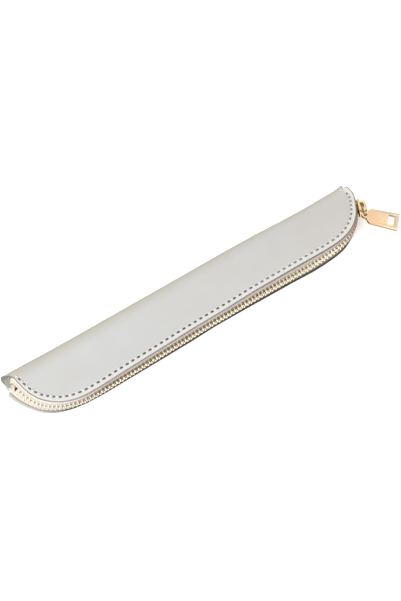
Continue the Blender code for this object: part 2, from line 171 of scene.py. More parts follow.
def settle(point):
    """Place of a point once the soft case has taken its shape: swollen at the fold's left end, wavy along
    its edges, with its seam nearer the edge at the left, and with its zip sagging outwards and down."""
    x, y, z = point
    height = clamp(z / TOP, 0.0, 1.0)
    swell = between(SPINE_SWELL, x / MM) * MM * smooth(y, -6 * MM, FOLD_Y)
    place, inset, outward = along_rim(x, y)
    stand = between(TOP_EDGE, place / MM) * height + between(UNDER_EDGE, place / MM) * (1 - height) ** 1.5
    shift = stand * (1 - smooth(inset, 2 * MM, 17 * MM))
    shift += between(SEAM_SHIFT, place / MM) * hump(inset, 0.0, 3 * MM, 3 * MM, 12 * MM) * height
    sag = between(ZIP_SAG, place / MM) * MM * (1 - smooth(inset, 1.5 * MM, 3.5 * MM))
    drop = 0.5 * sag * hump(z, 1.6 * MM, 4.6 * MM, 7.3 * MM, 8.9 * MM)
    shift = shift * MM + 0.9 * sag * exp(-((z / MM - 4.8) / 1.5) ** 2)
    return Vector((x + outward.x * shift, y + outward.y * shift + swell, z + SWELL_RISE * z * swell - drop))


def rim(place):
    """Centre and outward direction at a place along the seam, counted from the left corner's start."""
    turned = clamp(place, 0.0, SEAM_ARC) + clamp(place - SEAM_LENGTH + SEAM_ARC, 0.0, SEAM_ARC)
    angle = turned / SEAM_RADIUS
    x = clamp(place - SEAM_ARC - CORNER_X, -CORNER_X, CORNER_X)
    y = CORNER_Y + max(0.0, -place, place - SEAM_LENGTH)
    return Vector((x, y)), Vector((-cos(angle), -sin(angle)))


def rim_point(place, inset, z):
    """Point at a place along the seam, this far inside the cut edge."""
    centre, outward = rim(place)
    flat = centre + outward * (CORNER_RADIUS - inset)
    return Vector((flat.x, flat.y, z))


def level(side, depth):
    """Height of a layer this deep under the outer face of one half."""
    return depth if side == BACK else TOP - depth


def rim_place(place):
    """Place along the seam of a point this far along the zip, whose corners are wider."""
    arc, past = ZIP_RADIUS * pi / 2, place + ZIP_START
    turned = clamp(past, 0.0, arc) + clamp(past - arc - 2 * CORNER_X, 0.0, arc)
    return past - turned * (1 - SEAM_RADIUS / ZIP_RADIUS)


def slider_matrix():
    """Place of the slider, whose origin is the centre of the corner that it runs round."""
    return Matrix.Translation((CORNER_X, CORNER_Y, MIDDLE)) @ Matrix.Rotation(SLIDER_TURN, 4, "Z")


def link_matrix():
    """Place of the link in the slider's bridge."""
    seat = Matrix.Translation((-1.0 * MM, -ZIP_RADIUS - 2.85 * MM, 0.0))
    return slider_matrix() @ seat @ Matrix.Rotation(radians(-174), 4, "Z")


def pull_matrix():
    """Place of the pull on the link's far bar."""
    return link_matrix() @ Matrix.Translation((LINK_LENGTH, 0.0, 0.0)) @ Matrix.Rotation(radians(67), 4, "Z")


# Shared helpers


def set_inputs(tree, node, inputs):
    """Set a node's inputs to values, or link them to sockets."""
    for name, value in inputs.items():
        if isinstance(value, bpy.types.NodeSocket):
            tree.links.new(value, node.inputs[name])
        else:
            node.inputs[name].default_value = value


def add_node(tree, kind, inputs=None, **settings):
    """Outputs of a new node with its inputs and settings."""
    made = tree.nodes.new(kind)
    for name, value in settings.items():
        setattr(made, name, value)
    set_inputs(tree, made, inputs or {})
    return made.outputs


def math_node(tree, operation, first, second=0.0, third=0.0):
    """Result of a maths node."""
    return add_node(tree, "ShaderNodeMath", {0: first, 1: second, 2: third}, operation=operation)[0]


def ramp_node(tree, value, low, high, start=0.0, end=1.0):
    """Value mapped smoothly from low and high to start and end."""
    inputs = {"Value": value, "From Min": low, "From Max": high, "To Min": start, "To Max": end}
    return add_node(tree, "ShaderNodeMapRange", inputs, interpolation_type="SMOOTHSTEP")["Result"]


def rgba(colour):
    """Colour property with full alpha."""
    return (colour[0], colour[1], colour[2], 1.0)


def mix_node(tree, factor, first, second):
    """Colour mixed from two, each a socket or a colour property."""
    inputs = {0: factor}
    for index, colour in ((6, first), (7, second)):
        inputs[index] = colour if isinstance(colour, bpy.types.NodeSocket) else rgba(colour)
    return add_node(tree, "ShaderNodeMix", inputs, data_type="RGBA")[2]


def noise_node(tree, place, scale, detail=2.0):
    """Outputs of a noise texture."""
    return add_node(tree, "ShaderNodeTexNoise", {"Vector": place, "Scale": scale, "Detail": detail})


def attribute_node(tree, name):
    """Value of a mesh attribute."""
    return add_node(tree, "ShaderNodeAttribute", attribute_name=name)["Fac"]


def bump_node(tree, height, distance, strength=1.0):
    """Normal raised by a height."""
    inputs = {"Height": height, "Distance": distance, "Strength": strength}
    return add_node(tree, "ShaderNodeBump", inputs)["Normal"]


def object_coordinates(tree):
    """Object coordinates in millimetres."""
    inputs = {"Vector": add_node(tree, "ShaderNodeTexCoord")["Object"], "Scale": (1 / MM, 1 / MM, 1 / MM)}
    return add_node(tree, "ShaderNodeMapping", inputs)["Vector"]


def split_axes(tree, place):
    """Outputs for the axes of a place."""
    return add_node(tree, "ShaderNodeSeparateXYZ", {0: place})


def case_axes(tree):
    """Object coordinates in millimetres, with an output for each axis."""
    return split_axes(tree, object_coordinates(tree))


def new_group(name, values, outputs):
    """Shader node group with a vector and floats as inputs and floats as outputs."""
    tree = bpy.data.node_groups.new(name, "ShaderNodeTree")
    tree.interface.new_socket("Vector", in_out="INPUT", socket_type="NodeSocketVector")
    for title, value in values.items():
        socket = tree.interface.new_socket(title, in_out="INPUT", socket_type="NodeSocketFloat")
        socket.default_value = value
    for title in outputs:
        tree.interface.new_socket(title, in_out="OUTPUT", socket_type="NodeSocketFloat")
    return tree, tree.nodes.new("NodeGroupInput").outputs, tree.nodes.new("NodeGroupOutput")


def use_group(tree, name, inputs):
    """Outputs of a shared node group placed in a material."""
    group = bpy.data.node_groups.get(name) or GROUP_BUILDERS[name]()
    return add_node(tree, "ShaderNodeGroup", inputs, node_tree=group)


def new_material(name):
    """Empty Principled material, its tree and its shader."""
    material = bpy.data.materials.new(name)
    material.use_nodes = True
    return material, material.node_tree, material.node_tree.nodes["Principled BSDF"]


def show(name, data):
    """New object in the scene."""
    made = bpy.data.objects.new(name, data)
    bpy.context.scene.collection.objects.link(made)
    return made


def shade(mesh, angle):
    """Smooth shading, apart from edges sharper than this many degrees."""
    mesh.shade_smooth()
    mesh.set_sharp_from_angle(angle=radians(angle))
    return mesh


def finish_mesh(name, bm, angle=40.0):
    """Mesh of a bmesh, welded, facing outwards and smooth apart from its sharp edges."""
    bmesh.ops.remove_doubles(bm, verts=bm.verts, dist=NEAR)
    bmesh.ops.recalc_face_normals(bm, faces=bm.faces)
    mesh = bpy.data.meshes.new(name)
    bm.to_mesh(mesh)
    bm.free()
    return shade(mesh, angle)


def add_piece(name, mesh, material, body=None, replaces=()):
    """Show a mesh as a piece of the case, on its body, in place of its nodes."""
    piece = show(name, mesh)
    mesh.materials.clear()
    mesh.materials.append(material)
    if body:
        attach(piece, body)
    if replaces:
        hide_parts(*replaces)
    return piece


def settle_mesh(mesh):
    """Give every vertex its settled place."""
    for vertex in mesh.vertices:
        vertex.co = settle(vertex.co)
    mesh.update()
    return mesh


def evaluated_mesh(holder, name):
    """Plain mesh of an object with its modifiers. The object is removed."""
    bpy.context.view_layer.update()
    evaluated = holder.evaluated_get(bpy.context.evaluated_depsgraph_get())
    mesh = bpy.data.meshes.new_from_object(evaluated)
    mesh.name = name
    bpy.data.objects.remove(holder)
    return mesh


def rounded(corners, radius, steps):
    """Closed outline through corners, each one rounded by an arc."""
    outline = []
    count = len(corners)
    for index in range(count):
        corner = Vector(corners[index])
        before = (Vector(corners[index - 1]) - corner).normalized()
        after = (Vector(corners[(index + 1) % count]) - corner).normalized()
        half = before.angle(after) / 2
        if half > radians(89):
            continue
        reach = radius / sin(half)
        centre = corner + (before + after).normalized() * reach
        first = corner + before * reach * cos(half) - centre
        turn = (pi - 2 * half) * (1 if before.cross(after) < 0 else -1)
        for step in range(steps + 1):
            angle = turn * step / steps
            outline.append(centre + Vector((first.x * cos(angle) - first.y * sin(angle),
                                            first.x * sin(angle) + first.y * cos(angle))))
    return outline


def box_outline(low_x, high_x, low_y, high_y, radius, steps):
    """Closed outline of a rectangle with rounded corners."""
    return rounded([(low_x, low_y), (high_x, low_y), (high_x, high_y), (low_x, high_y)], radius, steps)


def round_outline(radius, count, start=0.0, turn=2 * pi):
    """Points on an arc round the origin, its end left out."""
    angles = [start + turn * step / count for step in range(count)]
    return [Vector((radius * cos(angle), radius * sin(angle))) for angle in angles]


def closed_curve(name, dimensions, loops):
    """Curve through closed loops of points."""
    curve = bpy.data.curves.new(name, "CURVE")
    curve.dimensions = dimensions
    for loop in loops:
        spline = curve.splines.new("POLY")
        spline.points.add(len(loop) - 1)
        for place, point in zip(spline.points, loop):
            place.co = (*point, 1.0)
        spline.use_cyclic_u = True
    return curve


def curve_mesh(name, curve, turn):
    """Closed mesh of a curve with a thickness, turned to its place."""
    bm = bmesh.new()
    bm.from_mesh(evaluated_mesh(show(name, curve), name))
    bmesh.ops.transform(bm, matrix=turn, verts=bm.verts)
    return finish_mesh(name, bm)


def plate(name, loops, start, end, turn, rounding, side=0.0, face_shade=0.0):
    """Plate cut to a flat outline with holes, from start to end along its normal, with soft edges.
    Its last two arguments say how much painted shade its sides and faces take."""
    curve = closed_curve(name, "2D", [[(point[0], point[1], 0.0) for point in loop] for loop in loops])
    curve.fill_mode = "BOTH"
    curve.extrude = (end - start) / 2
    mesh = curve_mesh(name, curve, turn @ Matrix.Translation((0, 0, (start + end) / 2)))
    holder = show(name, mesh)
    bevel = holder.modifiers.new("soft_edges", "BEVEL")
    bevel.width = rounding
    bevel.segments = 3
    bevel.angle_limit = radians(40)
    mesh = shade(evaluated_mesh(holder, name), 30)
    axis = turn.to_3x3().col[2].normalized()
    sides = mesh.attributes.new("side", "FLOAT", "FACE")
    # Share of painted shade on each face, most on the sides
    for polygon, share in zip(mesh.polygons, sides.data):
        share.value = face_shade + (side - face_shade) * (1 - abs(polygon.normal.dot(axis)))
    return mesh


def join_solids(name, meshes):
    """One closed surface round several overlapping solids."""
    holders = [show(mesh.name, mesh) for mesh in meshes]
    for other in holders[1:]:
        join = holders[0].modifiers.new(other.name, "BOOLEAN")
        join.operation = "UNION"
        join.object = other
    joined = evaluated_mesh(holders[0], name)
    for other in holders[1:]:
        bpy.data.objects.remove(other)
    return shade(joined, 30)


# Shared node groups


def build_leather_grain():
    """Fine pebbled grain and slow mottling of smooth leather."""
    tree, given, sink = new_group("leather_grain", {"Pebble": 0.45}, ("Height", "Tone"))
    place = given["Vector"]
    warp = noise_node(tree, place, 0.9)
    bent = add_node(tree, "ShaderNodeVectorMath", {0: place, 1: warp["Color"]}, operation="ADD")[0]
    inputs = {"Vector": bent, "Scale": math_node(tree, "DIVIDE", 1.0, given["Pebble"])}
    cells = add_node(tree, "ShaderNodeTexVoronoi", inputs, feature="DISTANCE_TO_EDGE")
    pebbles = ramp_node(tree, cells["Distance"], 0.0, 0.22)
    height = math_node(tree, "MULTIPLY_ADD", noise_node(tree, place, 6.0, 3.0)["Fac"], 0.35, pebbles)
    set_inputs(tree, sink, {"Height": height, "Tone": noise_node(tree, place, 0.06, 3.0)["Fac"]})
    return tree


def build_weave():
    """Twill weave on a map in millimetres: the ribs lean one way, then the other."""
    tree, given, sink = new_group("weave", {"Thread": 0.35, "Stripe": 1.4}, ("Height", "Tone"))
    axes = split_axes(tree, given["Vector"])
    lean = math_node(tree, "ADD", axes["X"], math_node(tree, "PINGPONG", axes["Y"], given["Stripe"]))
    turns = math_node(tree, "MULTIPLY", math_node(tree, "DIVIDE", lean, given["Thread"]), 2 * pi)
    ribs = math_node(tree, "MULTIPLY_ADD", math_node(tree, "SINE", turns), 0.5, 0.5)
    fuzz = noise_node(tree, given["Vector"], 5.0, 3.0)
    height = math_node(tree, "MULTIPLY_ADD", fuzz["Fac"], 0.6, ribs)
    set_inputs(tree, sink, {"Height": height, "Tone": math_node(tree, "MULTIPLY", height, 0.62)})
    return tree


def build_metal_wear():
    """Hair-fine scratches and slow clouding of plated metal."""
    outputs = ("Roughness", "Height", "Tone")
    tree, given, sink = new_group("metal_wear", {"Rough": 0.2, "Spread": 0.1}, outputs)
    inputs = {"Vector": given["Vector"], "Scale": (0.6, 9.0, 9.0)}
    stretched = add_node(tree, "ShaderNodeMapping", inputs)[0]
    scratches = noise_node(tree, stretched, 2.0, 4.0)["Fac"]
    clouds = noise_node(tree, given["Vector"], 0.5)["Fac"]
    both = math_node(tree, "MULTIPLY", math_node(tree, "ADD", scratches, clouds), 0.5)
    rough = math_node(tree, "MULTIPLY_ADD", both, given["Spread"], given["Rough"])
    set_inputs(tree, sink, {"Roughness": rough, "Height": scratches, "Tone": clouds})
    return tree


GROUP_BUILDERS = {"leather_grain": build_leather_grain, "weave": build_weave, "metal_wear": build_metal_wear}


# Materials


def paler_towards_ends(tree, face, look):
    """Colour inside the seam's holes, a painted shade that is paler towards both ends of the case."""
    along = case_axes(tree)["X"]
    left, right = ramp_node(tree, along, -85.0, -50.0, 0.4, 0.0), ramp_node(tree, along, 10.0, 45.0)
    return mix_node(tree, math_node(tree, "MAXIMUM", left, right), face, look.paler_hole)


def leather_material(look):
    """Smooth leather with a painted edge: paler outside the seam with a painted highlight, and darker with
    painted shade on the fold, in its holes and on parts of the edge.
    """
    material, tree, shader = new_material("greige_leather")
    grain = use_group(tree, "leather_grain", {"Vector": object_coordinates(tree), "Pebble": 0.4})
    axes = case_axes(tree)
    along, edge = axes["X"], attribute_node(tree, "edge")
    cooler = ramp_node(tree, along, -60.0, 95.0, 0.65, 0.0)
    tone = math_node(tree, "MULTIPLY_ADD", ramp_node(tree, grain["Tone"], 0.3, 0.7), 0.35, cooler)
    face = mix_node(tree, tone, look.shade, look.colour)
    # Paler band outside the seam: a painted highlight where the pressed edge slopes
    face = mix_node(tree, ramp_node(tree, edge, 2.0, 3.4, 0.85, 0.0), face, look.band)
    # Painted shade on the curve of the fold
    face = mix_node(tree, ramp_node(tree, axes["Y"], 7.0, 16.5), face, look.fold)
    # The back's cut edge: edge paint darkened with painted shade near the floor, paler at the left end with
    # painted light
    low_paint_shaded = mix_node(tree, ramp_node(tree, along, -100.0, -80.0), look.edge_lit_left, look.edge_paint_low_shaded)
    # The front's cut edge: edge paint, darker towards both ends with painted shade
    left = ramp_node(tree, along, -102.0, -84.0, 1.0, 0.0)
    end_shade = math_node(tree, "MAXIMUM", ramp_node(tree, along, 5.0, 55.0), left)
    high_paint_shaded = mix_node(tree, end_shade, look.edge_paint, look.edge_paint_high_shaded)
    paint = mix_node(tree, ramp_node(tree, axes["Z"], 2.0, 5.0), low_paint_shaded, high_paint_shaded)
    # At the right end the paint laps onto the face and takes its painted shade there
    lap = math_node(tree, "MULTIPLY_ADD", ramp_node(tree, along, 84.0, 97.0), -0.4, edge)
    face = mix_node(tree, ramp_node(tree, lap, 0.02, 0.3, 1.0, 0.0), face, paint)
    face = mix_node(tree, ramp_node(tree, edge, -3.0, -1.0, 1.0, 0.0), face, look.suede)
    # Painted shade in the dimple round each hole
    hole = ramp_node(tree, attribute_node(tree, "hole"), 0.25, 0.8)
    face = mix_node(tree, hole, face, paler_towards_ends(tree, look.hole, look))
    rough = math_node(tree, "MULTIPLY_ADD", grain["Height"], -0.08, 0.52)
    set_inputs(tree, shader, {"Base Color": face, "Roughness": rough, "Specular IOR Level": 0.35,
                              "Normal": bump_node(tree, grain["Height"], 0.012 * MM, 0.8)})
    return material


def thread_material(look):
    """Waxed sewing thread with a light twist."""
    material, tree, shader = new_material("waxed_thread")
    inputs = {"Vector": object_coordinates(tree), "Scale": 2.2, "Distortion": 1.5, "Detail": 2.0}
    fibres = add_node(tree, "ShaderNodeTexWave", inputs, bands_direction="DIAGONAL")["Fac"]
    set_inputs(tree, shader, {"Base Color": mix_node(tree, fibres, look.thread_shade, look.thread),
                              "Roughness": 0.6, "Normal": bump_node(tree, fibres, 0.03 * MM)})
    return material


def hole_material(look):
    """Dark awl hole: painted shade for the hole's depth."""
    material, tree, shader = new_material("awl_hole")
    noise = noise_node(tree, object_coordinates(tree), 3.0)
    face = mix_node(tree, noise["Fac"], [value * 0.6 for value in look.hole], look.hole)
    set_inputs(tree, shader, {"Base Color": paler_towards_ends(tree, face, look), "Roughness": 0.9})
    return material


def cloth_material(name, colour, shadow, thread, stripe, depth, cord=None, lit_left=None):
    """Woven cloth on the piece's own map. It may have a cord with painted shade, and painted light at the
    left.
    """
    material, tree, shader = new_material(name)
    place = add_node(tree, "ShaderNodeUVMap", uv_map="weave")["UV"]
    weave = use_group(tree, "weave", {"Vector": place, "Thread": thread, "Stripe": stripe})
    face = mix_node(tree, weave["Tone"], shadow, colour)
    if lit_left:
        # Painted light on the tape's left end
        face = mix_node(tree, ramp_node(tree, case_axes(tree)["X"], -92.0, -60.0, 0.6, 0.0), face, lit_left)
    if cord:
        # Painted shade on the cord between the teeth
        face = mix_node(tree, attribute_node(tree, "cord"), face, cord)
    set_inputs(tree, shader, {"Base Color": face, "Roughness": 0.85, "Sheen Weight": 0.2,
                              "Normal": bump_node(tree, weave["Height"], depth)})
    return material


def metal_material(name, colour, shadow, rough, spread, side=None, tinted_stretches=()):
    """Plated metal. It may have painted shade on a plate's sides, and stretches of other colours along the
    case: where each one starts and is whole along the case in millimetres, its colour and how much of the
    shine it loses.
    On the teeth these stretches are painted light and painted shade. One stretch at most loses shine."""
    material, tree, shader = new_material(name)
    inputs = {"Vector": object_coordinates(tree), "Rough": rough, "Spread": spread}
    wear = use_group(tree, "metal_wear", inputs)
    face = mix_node(tree, wear["Tone"], shadow, colour)
    rough, shine = wear["Roughness"], 1.0
    for start, whole, tone, loss in tinted_stretches:
        ends = (start, whole, 0.0, 1.0) if start < whole else (whole, start, 1.0, 0.0)
        share = ramp_node(tree, case_axes(tree)["X"], *ends)
        face = mix_node(tree, share, face, tone)
        if loss:
            rough = math_node(tree, "MULTIPLY_ADD", share, 0.35 * loss, rough)
            shine = math_node(tree, "MULTIPLY_ADD", share, -loss, 1.0)
    # Painted shade on a plate's sides and recesses
    if side:
        face = mix_node(tree, ramp_node(tree, attribute_node(tree, "side"), 0.4, 0.9), face, side)
    set_inputs(tree, shader, {"Base Color": face, "Roughness": rough, "Metallic": shine,
                              "Normal": bump_node(tree, wear["Height"], 0.002 * MM, 0.3)})
    return material


# Folded sheets: the leather skin and the lining

FOLD_RUN = pi * MIDDLE
WHOLE_RUN = 2 * END_RUN + FOLD_RUN

# How far the end of the skin is cut back at places along it, in millimetres
NOTCH = ((0.0, 0.0), (0.6, 0.05), (1.2, 0.3), (1.8, 0.8), (2.2, 1.5), (2.5, 2.8), (2.9, 2.4),
         (3.6, 1.9), (5.0, 1.6), (10.5, 1.5))


def notch_depth(run):
    """How far the end of the skin is cut back, this far along it from one corner's end."""
    return between(NOTCH, min(run, WHOLE_RUN - run) / MM) * MM


def end_point(end, run, inset, depth, notch):
    """Point past a corner's end: up the front panel, round the fold and down the back panel."""
    if run < END_RUN:
        y, z = CORNER_Y + run, level(FRONT, depth)
    elif run > END_RUN + FOLD_RUN:
        y, z = CORNER_Y + WHOLE_RUN - run, level(BACK, depth)
    else:
        angle = (run - END_RUN) / MIDDLE
        y, z = FOLD_Y + (MIDDLE - depth) * sin(angle), MIDDLE + (MIDDLE - depth) * cos(angle)
    cut = notch_depth(run) * notch * (1 - smooth(inset, 1 * MM, 9 * MM))
    return Vector((end * (panel_high.x - cut - inset), y, z))


def seam_columns(places, gap):
    """Places along the seam for a sheet's columns: its corners, and those that keep a gap to them."""
    corners = [0.0, SEAM_ARC, SEAM_LENGTH - SEAM_ARC, SEAM_LENGTH]
    return sorted(corners + [place for place in places if 0 < place < SEAM_LENGTH
                             and all(abs(place - corner) > gap for corner in corners)])


def add_grid(bm, table):
    """Faces between rows of vertices."""
    for first, second in zip(table, table[1:]):
        for corners in zip(first, first[1:], second[1:], second):
            bm.faces.new(corners)


def folded_sheet(name, rows, columns, notch, relief=None):
    """Closed sheet folded along the back of the case. Its rows go from the middle of its outer face, over the
    cut edge, to the middle of its inner face, each with an inset, a depth and a value for the edge mask.
    Relief gives more depth and the hole mask."""
    # Places along an end of the sheet, closest together where it is notched
    runs = [run * MM for run in (0.7, 1.2, 1.6, 1.9, 2.2, 2.4, 2.5, 2.65, 2.9, 3.3, 3.8, 4.6, 5.7, 7.0, 8.6)]
    runs += [WHOLE_RUN / 2] + [WHOLE_RUN - run for run in reversed(runs)]
    stations = [("rim", FRONT, place) for place in columns]
    stations += [("end", 1, run) for run in runs]
    stations += [("rim", BACK, place) for place in reversed(columns)]
    stations += [("end", -1, run) for run in reversed(runs)]
    bm = bmesh.new()
    edge_layer = bm.verts.layers.float.new("edge")
    hole_layer = bm.verts.layers.float.new("hole")
    map_layer = bm.loops.layers.uv.new("weave")

    def add_vertex(station, row):
        """Vertex of one row at one station."""
        kind, which, place = station
        inset, depth, edge = row
        more, hole = 0.0, 0.0
        if relief and kind == "rim" and edge >= 0:
            more, hole = relief(place, inset)
        if kind == "rim":
            vertex = bm.verts.new(rim_point(place, inset, level(which, depth + more)))
        else:
            vertex = bm.verts.new(end_point(which, place, inset, depth, notch))
        vertex[edge_layer] = edge
        vertex[hole_layer] = hole
        return vertex

    table = [[add_vertex(station, row) for row in rows] for station in stations]
    add_grid(bm, table + table[:1])
    # The straight part of the outer and the inner face, from the front's edge round the fold to the back's
    straight = [place for place in columns if SEAM_ARC - NEAR <= place <= SEAM_LENGTH - SEAM_ARC + NEAR]
    for row in (rows[0], rows[-1]):
        strip = [[add_vertex(("rim", FRONT, place), row) for place in straight]]
        for run in runs:
            strip.append([add_vertex(("end", 1, run), row) for place in straight])
            for place, vertex in zip(straight, strip[-1]):
                vertex.co.x = place - SEAM_ARC - CORNER_X
        strip.append([add_vertex(("rim", BACK, place), row) for place in straight])
        add_grid(bm, strip)
    bmesh.ops.remove_doubles(bm, verts=bm.verts, dist=NEAR)
    for face in bm.faces:
        for loop in face.loops:
            place = loop.vert.co
            spin = atan2(place.y - FOLD_Y, place.z - MIDDLE) if place.y > FOLD_Y else 0.0
            drop = FOLD_Y + MIDDLE * spin if place.y > FOLD_Y else place.y
            loop[map_layer].uv = (place.x / MM, drop / MM)
    return settle_mesh(finish_mesh(name, bm, 50.0))


# Seam and zip: pieces repeated along a line


def build_repeat_tree():
    """Geometry nodes that set a small piece along a line at a fixed pitch."""
    tree = bpy.data.node_groups.new("repeat_along_line", "GeometryNodeTree")
    for title, kind in (("Line", "Geometry"), ("Start", "Float"), ("Pitch", "Float"), ("Count", "Int"),
                        ("Piece", "Object"), ("Finish", "Material")):
        tree.interface.new_socket(title, in_out="INPUT", socket_type="NodeSocket" + kind)
    tree.interface.new_socket("Pieces", in_out="OUTPUT", socket_type="NodeSocketGeometry")
    given = tree.nodes.new("NodeGroupInput").outputs
    start, count = given["Start"], given["Count"]
    gaps = math_node(tree, "SUBTRACT", count, 1.0)
    end = math_node(tree, "MULTIPLY_ADD", gaps, given["Pitch"], start)
    line = add_node(tree, "GeometryNodeMeshToCurve", {"Mesh": given["Line"]})[0]
    line = add_node(tree, "GeometryNodeTrimCurve", {"Curve": line, 4: start, 5: end}, mode="LENGTH")[0]
    line = add_node(tree, "GeometryNodeResampleCurve", {"Curve": line, "Count": count}, mode="COUNT")[0]
    inputs = {"Vector": add_node(tree, "GeometryNodeInputTangent")[0]}
    turn = add_node(tree, "FunctionNodeAlignRotationToVector", inputs, axis="X", pivot_axis="Z")[0]
    piece = add_node(tree, "GeometryNodeObjectInfo", {"Object": given["Piece"], "As Instance": True})
    inputs = {"Points": line, "Instance": piece["Geometry"], "Rotation": turn}
    pieces = add_node(tree, "GeometryNodeInstanceOnPoints", inputs)[0]
    pieces = add_node(tree, "GeometryNodeRealizeInstances", {"Geometry": pieces})[0]
    inputs = {"Geometry": pieces, "Material": given["Finish"]}
    pieces = add_node(tree, "GeometryNodeSetMaterial", inputs)[0]
    set_inputs(tree, tree.nodes.new("NodeGroupOutput"), {"Pieces": pieces})
    return tree


def repeat_along(name, points, start, pitch, count, piece_mesh, material):
    """Mesh of a small piece repeated along points, settled like the rest of the case."""
    line = bpy.data.meshes.new(name + "_line")
    line.from_pydata(points, [(index, index + 1) for index in range(len(points) - 1)], [])
    holder, single = show(name, line), show(name + "_single", piece_mesh)
    tree = bpy.data.node_groups.get("repeat_along_line") or build_repeat_tree()
    modifier = holder.modifiers.new("repeat", "NODES")
    modifier.node_group = tree
    values = {"Start": start, "Pitch": pitch, "Count": count, "Piece": single, "Finish": material}
    for item in tree.interface.items_tree:
        if item.in_out == "INPUT" and item.name in values:
            modifier[item.identifier] = values[item.name]
    mesh = evaluated_mesh(holder, name)
    bpy.data.objects.remove(single)
    return settle_mesh(shade(mesh, 45))


def line_points(inset, z, start, end):
    """Points along the rim about half a millimetre apart, this far inside the cut edge."""
    count = int((end - start) / (0.5 * MM))
    return [rim_point(start + (end - start) * step / count, inset, z) for step in range(count + 1)]


def ring_mesh(name, rings):
    """Closed mesh through rings of points, capped at both ends."""
    bm = bmesh.new()
    table = [[bm.verts.new(point) for point in ring] for ring in rings]
    add_grid(bm, [ring + ring[:1] for ring in table])
    bm.faces.new(table[0])
    bm.faces.new(table[-1])
    return finish_mesh(name, bm)


def stitch_mesh(length, radius, side):
    """One stitch: thread that rises out of one hole and dips into the next."""
    rings = []
    for share in (-1.0, -0.86, -0.6, -0.2, 0.2, 0.6, 0.86, 1.0):
        thick = radius * (1 - 0.45 * abs(share) ** 4)
        rise = 0.12 * MM - 0.42 * MM * abs(share) ** 5
        rings.append([Vector((share * length / 2, point.x, -side * (rise + point.y)))
                      for point in round_outline(thick, 6)])
    return ring_mesh("stitch", rings)


def hole_mesh(length, width, side):
    """Awl hole: a flat dark lens that lies in its dimple, painted shade for the hole's depth."""
    rings = [[Vector((point.x * length, point.y * width, -side * height * MM))
              for point in round_outline(scale / 2, 10)]
             for scale, height in ((0.5, -0.2), (1.0, -0.1), (0.8, 0.0))]
    return ring_mesh("hole", rings)


# Half of a tooth's outline, in millimetres from the zip's middle towards its own half, and out of the case
TOOTH_OUTLINE = ((2.25, 0.25), (2.02, 0.62), (1.5, 0.86), (0.95, 0.95), (0.35, 0.92), (-0.3, 0.80),
                 (-0.68, 0.46), (-0.78, 0.0))


def tooth_mesh(thickness, side):
    """One tooth: two legs round the bead of the tape and a rounded head that meshes."""
    outline = [Vector((width, out)) for width, out in TOOTH_OUTLINE]
    outline += [Vector((width, -out)) for width, out in reversed(TOOTH_OUTLINE[:-1])]
    centre = Vector((0.8, 0.0))
    rings = []
    for share, scale in ((-1.0, 0.86), (-0.72, 1.0), (0.72, 1.0), (1.0, 0.86)):
        shrunk = [centre + (point - centre) * scale for point in outline]
        rings.append([Vector((share * thickness / 2, -point.y * MM, -side * point.x * MM))
                      for point in shrunk])
    return ring_mesh("tooth", rings)


def tape_section(half):
    """Closed section of the tape, in millimetres inside the edge and under the outer face: a strip this much
    thick to each side of its middle line, and the round cord in its edge."""
    line = ((6.3, 1.43), (4.6, 1.43), (2.9, 1.43), (1.6, 1.43), (1.1, 1.5), (0.75, 1.7), (0.55, 2.05),
            (0.48, 2.5), (0.46, 2.85))
    line = [Vector(point) for point in line]
    outer, inner = [], []
    for index, point in enumerate(line):
        along = (line[min(len(line) - 1, index + 1)] - line[max(0, index - 1)]).normalized()
        across = Vector((along.y, -along.x))
        outer.append(point - across * half)
        inner.append(point + across * half)
    cord = Vector((0.42, MIDDLE / MM - 1.72))
    bow = round_outline(0.6, 9, radians(-155), radians(-258.75))
    return outer + [cord + point for point in bow] + inner[::-1]


def tape_mesh(name, side):
    """Zip tape: flange under the leather, bent down at the edge, with a cord in its edge."""
    half, cord_depth, end_gap, count = 0.18, 2.7, 0.6 * MM, 224
    section = tape_section(half)
    total = len(section)
    lengths = [0.0]
    for first, second in zip(section, section[1:]):
        lengths.append(lengths[-1] + (second - first).length)
    lengths.append(lengths[-1] + 2 * half)
    start, end = end_gap - END_RUN, SEAM_LENGTH + END_RUN - end_gap
    places = [start + (end - start) * step / count for step in range(count + 1)]
    bm = bmesh.new()
    map_layer = bm.loops.layers.uv.new("weave")
    cord_shade_layer = bm.verts.layers.float.new("cord")
    rings = []
    for place in places:
        # The cord's painted shade is weak at the left end, full in the middle and half as strong at the right
        dark = 0.15 + 0.85 * smooth(place, 14 * MM, 50 * MM) - 0.5 * smooth(place, 140 * MM, 165 * MM)
        rings.append([bm.verts.new(rim_point(place, point.x * MM, level(side, point.y * MM)))
                      for point in section])
        for point, vertex in zip(section, rings[-1]):
            vertex[cord_shade_layer] = dark if point.y > cord_depth else 0.0
    for column in range(count):
        for row in range(total):
            corners = ((column, row), (column, row + 1), (column + 1, row + 1), (column + 1, row))
            face = bm.faces.new([rings[along][across % total] for along, across in corners])
            for loop, (along, across) in zip(face.loops, corners):
                loop[map_layer].uv = (places[along] / MM, lengths[across])
    for ring in (rings[0], rings[-1]):
        for loop in bm.faces.new(ring).loops:
            loop[map_layer].uv = (loop.vert.co.x / MM, loop.vert.co.z / MM)
    return settle_mesh(finish_mesh(name, bm, 50.0))


